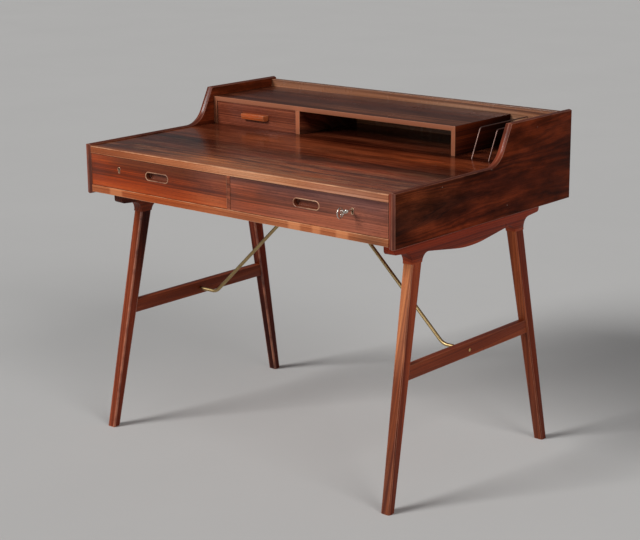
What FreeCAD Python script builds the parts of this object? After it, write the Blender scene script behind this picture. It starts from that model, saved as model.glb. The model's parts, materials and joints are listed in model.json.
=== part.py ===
import FreeCAD, Part
import math
import os

# Writing desk: a veneered case with two drawers and a gallery, on two leg frames.
# Millimetres. X runs left to right, Y from front to back, Z up from the floor.
# The origin is on the floor, in the middle of everything that stands on it in plan.

V = FreeCAD.Vector
UP = V(0, 0, 1)
RIGHTWARDS = V(1, 0, 0)
BACKWARDS = V(0, 1, 0)

# Case
case_width = 990.0
case_depth = 705.0
underside_height = 632.0
board = 18.0
drawer_space = 81.5
back_thick = 16.0
back_inset = 6.0
back_top_drop = 6.0
lipping_depth = 8.0
lipping_inset = 1.0
partition = 10.0

# Side panels, whose edges rise to a ridge between two slanting faces
side_thick = 18.0
ridge_from_inside = 10.0
outer_fall = 2.0
inner_fall = 2.5
side_drop = 6.0
lip_rise = 4.5
upstand = 98.5
swoop_top_from_rear = 262.5
swoop_radius = 62.0
swoop_angle = 63.0

# Dowels between the boards and the sides
dowel_radius = 4.0
dowel_length = 30.0
dowel_in_side = 11.0
dowels_per_joint = 5
dowel_margin = 60.0

# Drawers of the case
front_inset = 2.0
front_thick = 18.0
front_gap = 1.0
drawer_back_space = 103.0
drawer_side = 12.0
drawer_side_height = 62.0
drawer_lift = 8.0
drawer_gap = 1.2
drawer_bottom = 5.0
drawer_bottom_rise = 8.0
drawer_bottom_housing = 5.0
groove_depth = 7.5
groove_clearance = 0.3
runner_height = 12.0
runner_front = 45.0
stop_width = 50.0
stop_length = 22.0
stop_height = 12.0
stop_clearance = 0.4

# Recessed pulls
pull_length = 80.0
pull_height = 23.0
pull_wall = 3.2
pull_depth = 15.0
pull_floor = 2.0
pull_proud = 1.2
pull_height_above_opening = 46.5

# Locks and the key
lock_from_side = 101.5
lock_height_above_opening = 51.5
lock_width = 36.0
lock_depth = 10.0
lock_below = 17.0
lock_wall = 1.5
keyhole_radius = 3.3
keyhole_slot = 3.4
keyhole_drop = 9.0
escutcheon_rim = 1.6
escutcheon_proud = 0.4
escutcheon_depth = 5.0
bolt_width = 14.0
bolt_thick = 4.0
bolt_travel = 6.0
bolt_clearance = 0.3
bolt_above_key = 11.0
strike_clearance = 1.5
key_radius = 2.4
key_clearance = 0.06
key_bow_from_front = 28.0
key_bow_length = 25.0
key_bow_height = 27.0
key_bow_wire = 1.7
key_bar_share = 0.62
key_collar_radius = 4.2
key_collar_length = 6.0
key_collar_from_bow = 4.0
key_bit_length = 6.5
key_bit_width = 4.0
key_bit_thick = 2.2
key_bit_clearance = 1.0

# Gallery
gallery_board = 12.0
gallery_divider_thick = 14.0
gallery_depth = 235.0
gallery_height = 73.0
rack_width = 148.0
small_drawer_width = 283.0
small_front_inset = 2.0
small_front_thick = 14.0
small_gap = 0.8
small_side = 8.0
small_side_drop = 12.0
small_bottom = 4.0
small_bottom_rise = 5.0
small_bottom_housing = 3.0
small_lift = 0.3
small_back_clearance = 0.5
handle_length = 88.0
handle_height = 15.0
handle_reach = 16.0
handle_end_bevel = 4.0
handle_undercut = 7.0
handle_screw_radius = 1.6
handle_screw_head_radius = 3.4
handle_screw_head = 1.6
handle_screw_bite = 9.0
handle_screw_spacing = 56.0

# Wires of the letter rack
wire_radius = 1.5
wire_height = 71.0
wire_foot_behind_front = 0.5
wire_lean = 34.0
wire_bend_radius = 9.0
wire_bite = 7.0
rack_slots = 3

# Leg frames, drawn upright and then leaned outwards at the foot
frame_thick = 28.0
frame_centre_from_side = 58.0
frame_lean = 1.98
rail_nose_from_front = 52.0
rail_tail_from_rear = 72.0
rail_nose_depth = 33.0
rail_nose_radius = 9.0
rail_shoulder_depth = 38.5
rail_belly_depth = 65.0
rail_belly_radius = 430.0
rail_belly_slope = 7.9
rail_outer_fillet = 25.0
rail_inner_fillet = 24.0
leg_seam_drop = 67.0
leg_front_top_from_front = 137.5
leg_front_foot_from_front = 24.0
leg_rear_top_from_rear = 157.0
leg_rear_foot_from_rear = 48.5
leg_depth_top = 36.0
leg_depth_foot = 21.5
leg_thick_foot = 25.0
leg_chamfer = 2.8
leg_tenon_radius = 8.0
leg_tenon_length = 34.0
stretcher_height = 34.0
stretcher_thick = 19.0
stretcher_bottom = 297.5
stretcher_tenon_height = 20.0
stretcher_tenon_thick = 9.0
stretcher_tenon_length = 14.0

# Brass stays
stay_radius = 4.5
stay_ahead_of_middle = 12.0
stay_end_height = 313.0
stay_bend_from_end = 59.0
stay_top_from_centre = 47.5
stay_bend_radius = 34.0
stay_tab_length = 40.0
stay_tab_width = 16.0
stay_tab_thick = 4.0
stay_top_radius = 18.0

# Screws
stay_screw_radius = 2.2
stay_screw_head_radius = 4.2
stay_screw_head = 2.0
stay_screw_proud = 0.8
stay_screw_bite = 13.0
tab_screw_radius = 1.7
tab_screw_head_radius = 3.4
tab_screw_bite = 12.0
tab_screw_edge = 6.0
rail_screw_radius = 2.5
rail_screw_head_radius = 5.0
rail_screw_head = 3.0
rail_screw_bite = 26.0
rail_screws = 3
rail_screw_margin = 150.0
runner_screw_radius = 1.8
runner_screw_head_radius = 3.6
runner_screw_head = 2.0
runner_screw_bite = 11.0
runner_screws = 2
runner_screw_margin = 70.0
runner_screw_stagger = 30.0

overrun = 5.0
tool_overrun = 40.0

# Places worked out from the sizes
key_reach = key_bow_from_front + key_bow_length - front_inset
front_y = (key_reach - case_depth) / 2
rear_y = front_y + case_depth
inner_x = case_width / 2 - side_thick
opening_z = underside_height + board
desktop_z = opening_z + drawer_space + board
desktop_under_z = desktop_z - board
side_bottom_z = underside_height - side_drop
lip_z = desktop_z + lip_rise
side_top_z = desktop_z + upstand
back_out_y = rear_y - back_inset
back_y = back_out_y - back_thick
back_top_z = side_top_z - back_top_drop
core_y = front_y + lipping_inset + lipping_depth
drawer_front_y = front_y + front_inset
drawer_box_y = drawer_front_y + front_thick
drawer_rear_y = back_y - drawer_back_space
gallery_y = back_y - gallery_depth
shelf_z = desktop_z + gallery_height
shelf_under_z = shelf_z - gallery_board
rack_x = inner_x - rack_width
pull_x = (inner_x + partition / 2) / 2
lock_x = inner_x - lock_from_side
lock_z = opening_z + lock_height_above_opening
lock_top_z = desktop_under_z - front_gap
frame_x = case_width / 2 - frame_centre_from_side
leg_seam_z = underside_height - leg_seam_drop
rail_start_y = front_y + rail_nose_from_front
rail_end_y = rear_y - rail_tail_from_rear
stay_y = front_y + case_depth / 2 - stay_ahead_of_middle

# Where the middle of each leg stands in Y, at its seam with the rail and at its foot
front_leg = (front_y + leg_front_top_from_front, front_y + leg_front_foot_from_front)
rear_leg = (rear_y - leg_rear_top_from_rear, rear_y - leg_rear_foot_from_rear)


def block(x0, x1, y0, y1, z0, z1):
    return Part.makeBox(x1 - x0, y1 - y0, z1 - z0, V(x0, y0, z0))


def rod(start, direction, radius, length):
    return Part.makeCylinder(radius, length, start, direction)


def mirrored(shape):
    return shape.mirror(V(0, 0, 0), RIGHTWARDS)


def spread(low, high, count):
    return [low + (high - low) * (i + 0.5) / count for i in range(count)]


def polygon(points):
    return Part.makePolygon(points + points[:1])


def prism(points, travel):
    return Part.Face(polygon(points)).extrude(travel)


def screw(seat, direction, head_radius, head, radius, bite):
    """A countersunk screw whose head is flush with the seat; direction points into the wood."""
    cone = Part.makeCone(head_radius, radius, head, seat, direction)
    return cone.fuse(rod(seat, direction, radius, head + bite)).removeSplitter()


def save(node, shape):
    shape = shape.copy()
    if len(shape.Solids) == 1:
        shape = shape.Solids[0]
    shape.exportStep("parts/" + node + ".step")


# Case

def side_outline(x, inset):
    """The side's outline at x, moved in from its ridge by inset."""
    angle = math.radians(swoop_angle)
    centre_z = lip_z + swoop_radius
    rise_z = side_top_z - (centre_z - swoop_radius * math.cos(angle))
    run_y = rise_z / math.tan(angle)
    centre_y = rear_y - swoop_top_from_rear - run_y - swoop_radius * math.sin(angle)
    radius = swoop_radius + inset

    def on_arc(turn):
        return V(x, centre_y + radius * math.sin(turn), centre_z - radius * math.cos(turn))

    low = on_arc(0)
    high = on_arc(angle)
    top_z = side_top_z - inset
    top_y = high.y + (top_z - high.z) / math.tan(angle)
    front = front_y + inset
    rear = rear_y - inset
    bottom = side_bottom_z + inset
    corners = [high, V(x, top_y, top_z), V(x, rear, top_z), V(x, rear, bottom),
               V(x, front, bottom), V(x, front, low.z), low]
    edges = [Part.LineSegment(a, b).toShape() for a, b in zip(corners, corners[1:])]
    edges.append(Part.Arc(low, on_arc(angle / 2), high).toShape())
    return Part.Wire(edges)


def dowel_places():
    ys = spread(core_y + dowel_margin, back_y - dowel_margin, dowels_per_joint)
    zs = (underside_height + board / 2, desktop_z - board / 2)
    return [(y, z) for z in zs for y in ys]


def dowel_pins():
    x = case_width / 2 - side_thick + dowel_in_side
    pins = [rod(V(x, y, z), -RIGHTWARDS, dowel_radius, dowel_length) for y, z in dowel_places()]
    return pins + [mirrored(pin) for pin in pins]


def side_panel():
    """The right-hand side."""
    ridge_x = inner_x + ridge_from_inside
    outer = Part.makeLoft([side_outline(ridge_x, 0), side_outline(case_width / 2, outer_fall)], True, True)
    inner = Part.makeLoft([side_outline(inner_x, inner_fall), side_outline(ridge_x, 0)], True, True)
    panel = outer.fuse(inner).removeSplitter()
    return panel.cut(dowel_pins() + all_runner_screws())


def lock_places():
    return (-lock_x, lock_x)


def desktop():
    top = block(-inner_x, inner_x, core_y, back_y, desktop_under_z, desktop_z)
    mortise_y = bolt_y() - strike_clearance
    for x in lock_places():
        half = bolt_width / 2 + strike_clearance
        height = bolt_travel + strike_clearance - front_gap
        top = top.cut(block(x - half, x + half, mortise_y, mortise_y + bolt_thick + 2 * strike_clearance,
                            desktop_under_z, desktop_under_z + height))
    return top.cut(dowel_pins() + [letter_wire(x) for x in wire_places()])


def bottom_board():
    core = block(-inner_x, inner_x, core_y, back_y, underside_height, opening_z)
    return core.cut(dowel_pins() + rail_screw_set() + tab_screw_set())


def lipping(low_z):
    return block(-inner_x, inner_x, front_y + lipping_inset, core_y, low_z, low_z + board)


def partition_board():
    return block(-partition / 2, partition / 2, drawer_front_y, back_y, opening_z, desktop_under_z)


def back_panel():
    panel = block(-inner_x, inner_x, back_y, back_out_y, underside_height, back_top_z)
    return panel.cut([letter_wire(x) for x in wire_places()])


# Runners and stops

def runner_z():
    return opening_z + drawer_lift + drawer_side_height / 2


def runner(wall_x, into):
    """A batten on the wall at wall_x; into is +1 or -1, towards the drawer."""
    reach = drawer_gap + groove_depth - groove_clearance
    x0, x1 = sorted((wall_x, wall_x + into * reach))
    z = runner_z()
    half = runner_height / 2
    bar = block(x0, x1, drawer_box_y + runner_front, drawer_rear_y, z - half, z + half)
    return bar.cut(runner_screws_on(wall_x, into))


def runner_screws_on(wall_x, into):
    seat_x = wall_x + into * (drawer_gap + groove_depth - groove_clearance)
    low = drawer_box_y + runner_front + runner_screw_margin
    high = drawer_rear_y - runner_screw_margin
    if wall_x > 0 and into > 0:
        low = low + runner_screw_stagger
    screws = []
    for i in range(runner_screws):
        y = low + (high - low) * i / (runner_screws - 1)
        screws.append(screw(V(seat_x, y, runner_z()), V(-into, 0, 0), runner_screw_head_radius,
                            runner_screw_head, runner_screw_radius, runner_screw_bite))
    return screws


def runner_walls():
    """Wall and direction of each runner, from left to right."""
    return {"runner_left_side": (-inner_x, 1), "runner_left_centre": (-partition / 2, -1),
            "runner_right_centre": (partition / 2, 1), "runner_right_side": (inner_x, -1)}


def all_runner_screws():
    return [one for wall_x, into in runner_walls().values() for one in runner_screws_on(wall_x, into)]


def drawer_stops():
    y = drawer_rear_y + stop_clearance
    middle = (inner_x + partition / 2) / 2
    quarter = (inner_x - partition / 2) / 4
    xs = [middle - quarter, middle + quarter]
    half = stop_width / 2
    top_z = opening_z + stop_height + drawer_lift
    return [block(x - half, x + half, y, y + stop_length, opening_z, top_z) for x in [-xs[1], -xs[0]] + xs]


# Drawers of the case. Each is drawn as the right-hand one, and mirrored for the left.

drawer_x0 = partition / 2 + front_gap
drawer_x1 = inner_x - front_gap
box_x0 = partition / 2 + drawer_gap
box_x1 = inner_x - drawer_gap
side_z0 = opening_z + drawer_lift
side_z1 = side_z0 + drawer_side_height


def stadium(x, z, length, height, y0, y1):
    """A slot with round ends, its long way along X, from y0 to y1."""
    radius = height / 2
    half = length / 2 - radius
    left = V(x - half, y0, z)
    right = V(x + half, y0, z)
    edges = [Part.LineSegment(left + V(0, 0, radius), right + V(0, 0, radius)).toShape(),
             Part.Arc(right + V(0, 0, radius), right + V(radius, 0, 0), right - V(0, 0, radius)).toShape(),
             Part.LineSegment(right - V(0, 0, radius), left - V(0, 0, radius)).toShape(),
             Part.Arc(left - V(0, 0, radius), left - V(radius, 0, 0), left + V(0, 0, radius)).toShape()]
    return Part.Face(Part.Wire(edges)).extrude(V(0, y1 - y0, 0))


def keyhole(x, grow, y0, y1):
    """A keyhole with its round part at the key's axis, grown by grow all round."""
    round_part = rod(V(x, y0, lock_z), BACKWARDS, keyhole_radius + grow, y1 - y0)
    half = keyhole_slot / 2 + grow
    slot = block(x - half, x + half, y0, y1, lock_z - keyhole_drop - grow, lock_z)
    return round_part.fuse(slot).removeSplitter()


def bolt_y():
    return drawer_box_y - lock_depth + lock_wall + (lock_depth - 2 * lock_wall - bolt_thick) / 2


def lock_room(grow):
    """The space that the lock case takes in the drawer front, open at the front's back and top."""
    half = lock_width / 2 + grow
    return block(lock_x - half, lock_x + half, drawer_box_y - lock_depth,
                 drawer_box_y, lock_z - lock_below - grow, lock_top_z)


def pull_z():
    return opening_z + pull_height_above_opening


def drawer_front():
    front = block(drawer_x0, drawer_x1, drawer_front_y, drawer_box_y, opening_z + front_gap, lock_top_z)
    pocket = stadium(pull_x, pull_z(), pull_length, pull_height,
                     drawer_front_y, drawer_front_y + pull_depth)
    liner = keyhole(lock_x, escutcheon_rim, drawer_front_y, drawer_front_y + escutcheon_depth)
    hole = keyhole(lock_x, 0, drawer_front_y, drawer_box_y)
    groove = drawer_bottom_room()
    return front.cut([pocket, liner, hole, lock_room(0), groove])


def pull_cup():
    cup = stadium(pull_x, pull_z(), pull_length, pull_height,
                  drawer_front_y - pull_proud, drawer_front_y + pull_depth)
    hollow = stadium(pull_x, pull_z(), pull_length - 2 * pull_wall, pull_height - 2 * pull_wall,
                     drawer_front_y - pull_proud - overrun, drawer_front_y + pull_depth - pull_floor)
    lip = [edge for edge in cup.Edges if edge.BoundBox.YMax < drawer_front_y - pull_proud / 2]
    cup = cup.makeFillet(pull_proud / 2, lip)
    return cup.cut(hollow)


def escutcheon():
    outer = keyhole(lock_x, escutcheon_rim, drawer_front_y - escutcheon_proud,
                    drawer_front_y + escutcheon_depth)
    inner = keyhole(lock_x, 0, drawer_front_y - overrun, drawer_front_y + escutcheon_depth + overrun)
    return outer.cut(inner)


def drawer_bottom_room():
    z = side_z0 + drawer_bottom_rise
    grow = drawer_bottom_housing
    return block(box_x0 + drawer_side - grow, box_x1 - drawer_side + grow, drawer_box_y - grow,
                 drawer_rear_y - drawer_side + grow, z, z + drawer_bottom)


def groove(wall_x, into):
    """The room for a runner in the drawer's side next to the wall."""
    reach = drawer_gap + groove_depth
    x0, x1 = sorted((wall_x, wall_x + into * reach))
    half = runner_height / 2 + groove_clearance
    z = runner_z()
    start_y = drawer_box_y + runner_front - groove_clearance
    return block(x0, x1, start_y, drawer_rear_y + overrun, z - half, z + half)


def drawer_side_board(x0, wall_x, into):
    side = block(x0, x0 + drawer_side, drawer_box_y, drawer_rear_y, side_z0, side_z1)
    return side.cut([groove(wall_x, into), drawer_bottom_room()])


def drawer_back():
    back = block(box_x0 + drawer_side, box_x1 - drawer_side, drawer_rear_y - drawer_side, drawer_rear_y,
                 side_z0, side_z1)
    return back.cut(drawer_bottom_room())


def lock_case():
    case = lock_room(0)
    inside = block(lock_x - lock_width / 2 + lock_wall, lock_x + lock_width / 2 - lock_wall,
                   drawer_box_y - lock_depth + lock_wall, drawer_box_y - lock_wall,
                   lock_z - lock_below + lock_wall, lock_top_z - lock_wall)
    half = bolt_width / 2 + bolt_clearance
    y = bolt_y()
    mouth = block(lock_x - half, lock_x + half, y - bolt_clearance,
                  y + bolt_thick + bolt_clearance, lock_top_z - lock_wall, lock_top_z)
    entry = keyhole(lock_x, 0, drawer_box_y - lock_depth, drawer_box_y - lock_wall)
    bearing = rod(V(lock_x, drawer_box_y - lock_wall, lock_z), BACKWARDS, key_radius + key_clearance,
                  lock_wall)
    return case.cut([inside, mouth, entry, bearing])


def lock_bolt():
    y = bolt_y()
    return block(lock_x - bolt_width / 2, lock_x + bolt_width / 2, y, y + bolt_thick,
                 lock_z + bolt_above_key, lock_top_z)


def key():
    """A key that stands in the right-hand lock with its bow upright."""
    x = lock_x
    bow_end_y = drawer_front_y - key_bow_from_front
    tip_y = drawer_box_y
    shank = rod(V(x, bow_end_y, lock_z), BACKWARDS, key_radius, tip_y - bow_end_y)
    collar_start = V(x, bow_end_y + key_collar_from_bow, lock_z)
    collar = rod(collar_start, BACKWARDS, key_collar_radius, key_collar_length)
    centre = V(x, bow_end_y - key_bow_length / 2 + key_bow_wire / 2, lock_z)
    reach_y = key_bow_length / 2 - key_bow_wire / 2
    reach_z = key_bow_height / 2 - key_bow_wire
    rim = Part.Ellipse(centre, reach_z + key_bow_wire, reach_y + key_bow_wire)
    eye = Part.Ellipse(centre, reach_z - key_bow_wire, reach_y - key_bow_wire)
    plate = Part.Face(Part.Wire(rim.toShape()))
    window = Part.Face(Part.Wire(eye.toShape()))
    bow = plate.cut(window).extrude(V(0, 0, 2 * key_bow_wire))
    bow.translate(V(0, 0, -key_bow_wire))
    bow.rotate(centre, BACKWARDS, 90)
    bar_y = centre.y + reach_y * (2 * key_bar_share - 1)
    bar_half = reach_z * math.sqrt(1 - (2 * key_bar_share - 1) ** 2)
    bar = rod(V(x, bar_y, lock_z - bar_half), UP, key_bow_wire, 2 * bar_half)
    bit_y = tip_y - lock_wall - key_bit_clearance - key_bit_width
    bit = block(x - key_bit_thick / 2, x + key_bit_thick / 2, bit_y, bit_y + key_bit_width,
                lock_z - key_radius - key_bit_length, lock_z)
    return shank.fuse([collar, bow, bar, bit]).removeSplitter()


# Gallery

def gallery_shelf():
    left = -inner_x
    points = [V(left, gallery_y, shelf_z), V(rack_x, gallery_y, shelf_z),
              V(rack_x - gallery_board, gallery_y, shelf_under_z),
              V(left + gallery_board, gallery_y, shelf_under_z)]
    return prism(points, V(0, back_y - gallery_y, 0))


def gallery_wall(outer_x, into):
    """A wall mitred to the shelf; into is +1 or -1, from its outer face towards the middle."""
    inner = outer_x + into * gallery_board
    points = [V(outer_x, gallery_y, shelf_z), V(outer_x, gallery_y, desktop_z),
              V(inner, gallery_y, desktop_z),
              V(inner, gallery_y, shelf_under_z)]
    return prism(points, V(0, back_y - gallery_y, 0))


small_x0 = -inner_x + gallery_board
small_x1 = small_x0 + small_drawer_width
small_front_y = gallery_y + small_front_inset
small_box_y = small_front_y + small_front_thick
small_rear_y = back_y - small_back_clearance


def gallery_divider():
    return block(small_x1, small_x1 + gallery_divider_thick, gallery_y, back_y, desktop_z, shelf_under_z)


def small_bottom_room():
    z = desktop_z + small_lift + small_bottom_rise
    grow = small_bottom_housing
    return block(small_x0 + small_gap + small_side - grow, small_x1 - small_gap - small_side + grow,
                 small_box_y - grow, small_rear_y - small_side + grow, z, z + small_bottom)


def small_front():
    front = block(small_x0 + small_gap, small_x1 - small_gap, small_front_y, small_box_y,
                  desktop_z + small_lift, shelf_under_z - small_gap)
    return front.cut([small_bottom_room()] + handle_screws())


def small_side_board(x0):
    side = block(x0, x0 + small_side, small_box_y, small_rear_y, desktop_z + small_lift,
                 shelf_under_z - small_side_drop)
    return side.cut(small_bottom_room())


def small_back():
    back = block(small_x0 + small_gap + small_side, small_x1 - small_gap - small_side,
                 small_rear_y - small_side, small_rear_y,
                 desktop_z + small_lift, shelf_under_z - small_side_drop)
    return back.cut(small_bottom_room())


def handle_centre():
    return V((small_x0 + small_x1) / 2, small_front_y, (desktop_z + shelf_under_z) / 2)


def small_handle():
    """A bar with a finger hold cut under it and slanting ends."""
    middle = handle_centre()
    half = handle_height / 2
    section = [V(0, 0, half), V(0, -handle_reach, half), V(0, -handle_reach, half - handle_height / 2),
               V(0, -handle_reach + handle_undercut / 2, -half), V(0, -handle_undercut / 2, -half),
               V(0, 0, -half + handle_undercut / 2)]
    start = middle - V(handle_length / 2, 0, 0)
    bar = prism([start + point for point in section], V(handle_length, 0, 0))
    for way in (-1, 1):
        end = middle.x + way * handle_length / 2
        wedge = [V(end, middle.y, middle.z - handle_height),
                 V(end - way * handle_end_bevel, middle.y - handle_reach, middle.z - handle_height),
                 V(end, middle.y - handle_reach - overrun, middle.z - handle_height),
                 V(end + way * overrun, middle.y - handle_reach - overrun, middle.z - handle_height),
                 V(end + way * overrun, middle.y, middle.z - handle_height)]
        bar = bar.cut(prism(wedge, V(0, 0, 2 * handle_height)))
    top = [edge for edge in bar.Edges if edge.BoundBox.ZMin > middle.z + half / 2
           and edge.BoundBox.YMax < middle.y - handle_reach / 2]
    bar = bar.makeFillet(handle_end_bevel / 4, top)
    return bar.cut(handle_screws())


def handle_screws():
    middle = handle_centre()
    return [screw(V(middle.x + way * handle_screw_spacing / 2, small_box_y, middle.z), -BACKWARDS,
                  handle_screw_head_radius, handle_screw_head, handle_screw_radius,
                  small_front_thick - handle_screw_head + handle_screw_bite) for way in (-1, 1)]


# Letter rack

def wire_places():
    return [rack_x + rack_width * i / rack_slots for i in range(1, rack_slots)]


def bent_rod(points, radii, radius):
    """A round rod through the points, bent at each inner one to its own radius."""
    pieces = []
    start = points[0]
    for i, bend in enumerate(radii):
        corner = points[i + 1]
        before = (corner - points[i]).normalize()
        after = (points[i + 2] - corner).normalize()
        turn = before.getAngle(after)
        cut_back = bend * math.tan(turn / 2)
        first = corner - before * cut_back
        pieces.append(rod(start, before, radius, (first - start).Length))
        axis = before.cross(after).normalize()
        centre = first + axis.cross(before) * bend
        ring = Part.Face(Part.Wire(Part.Circle(first, before, radius).toShape()))
        pieces.append(ring.revolve(centre, axis, math.degrees(turn)))
        start = corner + after * cut_back
    last = points[-1] - start
    length = last.Length
    pieces.append(rod(start, last.normalize(), radius, length))
    return pieces[0].fuse(pieces[1:]).removeSplitter()


def letter_wire(x):
    foot = V(x, gallery_y + wire_foot_behind_front, desktop_z)
    top = V(x, foot.y + wire_lean, desktop_z + wire_height)
    below = foot + (foot - top).normalize() * wire_bite
    return bent_rod([below, top, V(x, back_y + wire_bite, top.z)], [wire_bend_radius], wire_radius)


# Leg frames. Each piece is drawn upright at the right-hand frame, leaned, and cut level.

def lean(shape):
    shape.rotate(V(frame_x, 0, underside_height), BACKWARDS, -frame_lean)
    return shape


def between(shape, low_z, high_z):
    span = case_width
    return shape.common(block(-span, span, -span, span, low_z, high_z))


def frustum(low, high):
    """A solid between two outlines whose matching sides are parallel, so that each face is flat."""
    faces = [Part.Face(polygon(low)), Part.Face(polygon(high))]
    for i in range(len(low)):
        faces.append(Part.Face(polygon([low[i - 1], low[i], high[i], high[i - 1]])))
    return Part.makeSolid(Part.makeShell(faces))


def leg_line(stance, z):
    top_y, foot_y = stance
    return foot_y + (top_y - foot_y) * z / leg_seam_z


def leg_way(stance):
    """The direction of a leg's middle line, from its foot to its seam."""
    top_y, foot_y = stance
    return V(0, top_y - foot_y, leg_seam_z).normalize()


def leg_depth_at(z):
    return leg_depth_foot + (leg_depth_top - leg_depth_foot) * z / leg_seam_z


def leg_thick_at(z):
    return leg_thick_foot + (frame_thick - leg_thick_foot) * z / leg_seam_z


def leg_section(stance, z):
    y = leg_line(stance, z)
    half_y = leg_depth_at(z) / 2
    half_x = leg_thick_at(z) / 2
    chamfer = leg_chamfer
    corners = []
    for way_x, way_y, order in ((1, -1, 1), (1, 1, -1), (-1, 1, 1), (-1, -1, -1)):
        pair = [V(frame_x + way_x * (half_x - chamfer), y + way_y * half_y, z),
                V(frame_x + way_x * half_x, y + way_y * (half_y - chamfer), z)]
        corners += pair[::order]
    return corners


def leg_tenon(stance):
    way = leg_way(stance)
    start = V(frame_x, leg_line(stance, leg_seam_z), leg_seam_z) - way * leg_depth_top
    return rod(start, way, leg_tenon_radius, leg_tenon_length + leg_depth_top)


def leg_shaft(stance):
    return frustum(leg_section(stance, -tool_overrun), leg_section(stance, leg_seam_z))


def leg(stance):
    body = leg_shaft(stance).fuse(leg_tenon(stance)).removeSplitter()
    body = body.cut(stretcher_tenons())
    return between(lean(body), 0, underside_height)


def meet(point, way, other, other_way):
    """Where two lines in the Y-Z plane cross."""
    det = way.y * other_way.z - way.z * other_way.y
    gap = other - point
    return point + way * ((gap.y * other_way.z - gap.z * other_way.y) / det)


def rounded_outline(corners):
    """A closed outline through the corners, each given as its point and its radius."""
    edges = []
    ends = []
    for i, (corner, radius) in enumerate(corners):
        before = corners[i - 1][0]
        after = corners[(i + 1) % len(corners)][0]
        into = (corner - before).normalize()
        out = (after - corner).normalize()
        half_turn = into.getAngle(out) / 2
        first = corner - into * radius * math.tan(half_turn)
        last = corner + out * radius * math.tan(half_turn)
        if radius:
            middle = corner + (out - into).normalize() * (radius / math.cos(half_turn) - radius)
            edges.append(Part.Arc(first, middle, last).toShape())
        ends.append((first, last))
    for (_, start), (end, _) in zip(ends, ends[1:] + ends[:1]):
        edges.append(Part.LineSegment(start, end).toShape())
    return Part.Wire(Part.__sortEdges__(edges))


def rail_stub(stance, side):
    """The rail's edge at the seam of a leg; side is -1 in front of the leg and 1 behind it."""
    return V(0, stance[0] + side * leg_depth_top / 2, leg_seam_z)


def rail_half(stance, side, end_y):
    """The outline's corners from the rail's end, round the nose and the stub, to the belly."""
    slope = math.radians(rail_belly_slope)
    belly = V(0, (rail_start_y + rail_end_y) / 2,
              underside_height - rail_belly_depth + rail_belly_radius * (1 - 1 / math.cos(slope)))
    nose = V(0, end_y, underside_height - rail_nose_depth)
    shoulder_way = rail_stub(stance, side) - nose
    shoulder_way.z = rail_nose_depth - rail_shoulder_depth
    belly_way = V(0, side * math.cos(slope), math.sin(slope))
    outside = rail_stub(stance, side)
    inside = rail_stub(stance, -side)
    way = leg_way(stance)
    return [(V(0, end_y, underside_height + tool_overrun), 0),
            (nose, rail_nose_radius),
            (meet(nose, shoulder_way, outside, way), rail_outer_fillet),
            (outside, 0),
            (inside, 0),
            (meet(belly, belly_way, inside, way), rail_inner_fillet),
            (belly, rail_belly_radius)]


def rail_outline():
    fore = rail_half(front_leg, -1, rail_start_y)
    aft = rail_half(rear_leg, 1, rail_end_y)
    return rounded_outline(fore + aft[-2::-1])


def rail():
    face = Part.Face(rail_outline())
    body = face.extrude(V(frame_thick, 0, 0))
    body.translate(V(frame_x - frame_thick / 2, 0, 0))
    body = body.cut([leg_tenon(front_leg), leg_tenon(rear_leg)])
    return between(lean(body), 0, underside_height).cut(rail_screw_set())


def stretcher_ends():
    z = stretcher_bottom + stretcher_height / 2
    fore = leg_line(front_leg, z)
    aft = leg_line(rear_leg, z)
    return fore, aft


def stretcher_tenons():
    fore, aft = stretcher_ends()
    z = stretcher_bottom + stretcher_height / 2
    half = stretcher_tenon_thick / 2
    reach = leg_depth_at(z) / 2
    low = z - stretcher_tenon_height / 2
    high = z + stretcher_tenon_height / 2
    x0, x1 = frame_x - half, frame_x + half
    depth = stretcher_tenon_length
    return [block(x0, x1, fore + reach - depth, (fore + aft) / 2, low, high),
            block(x0, x1, (fore + aft) / 2, aft - reach + depth, low, high)]


def stretcher():
    fore, aft = stretcher_ends()
    half = stretcher_thick / 2
    top_z = stretcher_bottom + stretcher_height
    bar = block(frame_x - half, frame_x + half, fore, aft, stretcher_bottom, top_z)
    body = bar.cut([leg_shaft(front_leg), leg_shaft(rear_leg)])
    body = body.fuse(stretcher_tenons()).removeSplitter()
    return lean(body)


def lean_x(z):
    """Where the leaned frame's middle plane stands at height z."""
    return frame_x + (underside_height - z) * math.tan(math.radians(frame_lean))


def stay_end():
    return V(lean_x(stay_end_height) - stretcher_thick / 2 / math.cos(math.radians(frame_lean)),
             stay_y, stay_end_height)


def stay_tab():
    x = stay_top_from_centre
    half = stay_tab_width / 2
    return block(x - stay_tab_length, x, stay_y - half, stay_y + half,
                 underside_height - stay_tab_thick, underside_height)


def stay():
    """A brass rod from the stretcher up to a flat tab under the case."""
    end = stay_end()
    bend = end - V(stay_bend_from_end, 0, 0)
    top = V(stay_top_from_centre, stay_y, underside_height - stay_radius)
    tip = top - V(stay_tab_length / 2, 0, 0)
    start = end + V(stretcher_thick / 2, 0, 0)
    bar = bent_rod([start, bend, top, tip], [stay_bend_radius, stay_top_radius], stay_radius)
    bar = between(bar.fuse(stay_tab()), 0, underside_height)
    near_x = stay_top_from_centre - stay_tab_length / 4
    below = block(0, near_x, stay_y - stay_tab_width, stay_y + stay_tab_width,
                  underside_height - 2 * stay_radius - overrun, underside_height - stay_tab_thick)
    bar = bar.cut([below, stretcher(), stay_end_screw()] + tab_screws())
    return bar.removeSplitter()


def stay_end_screw():
    z = stay_end_height
    face_x = lean_x(z) + stretcher_thick / 2 / math.cos(math.radians(frame_lean))
    seat = V(face_x + stay_screw_proud, stay_y, z)
    return screw(seat, -RIGHTWARDS, stay_screw_head_radius, stay_screw_head, stay_screw_radius,
                 stretcher_thick + stay_screw_proud - stay_screw_head + stay_screw_bite)


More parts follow.
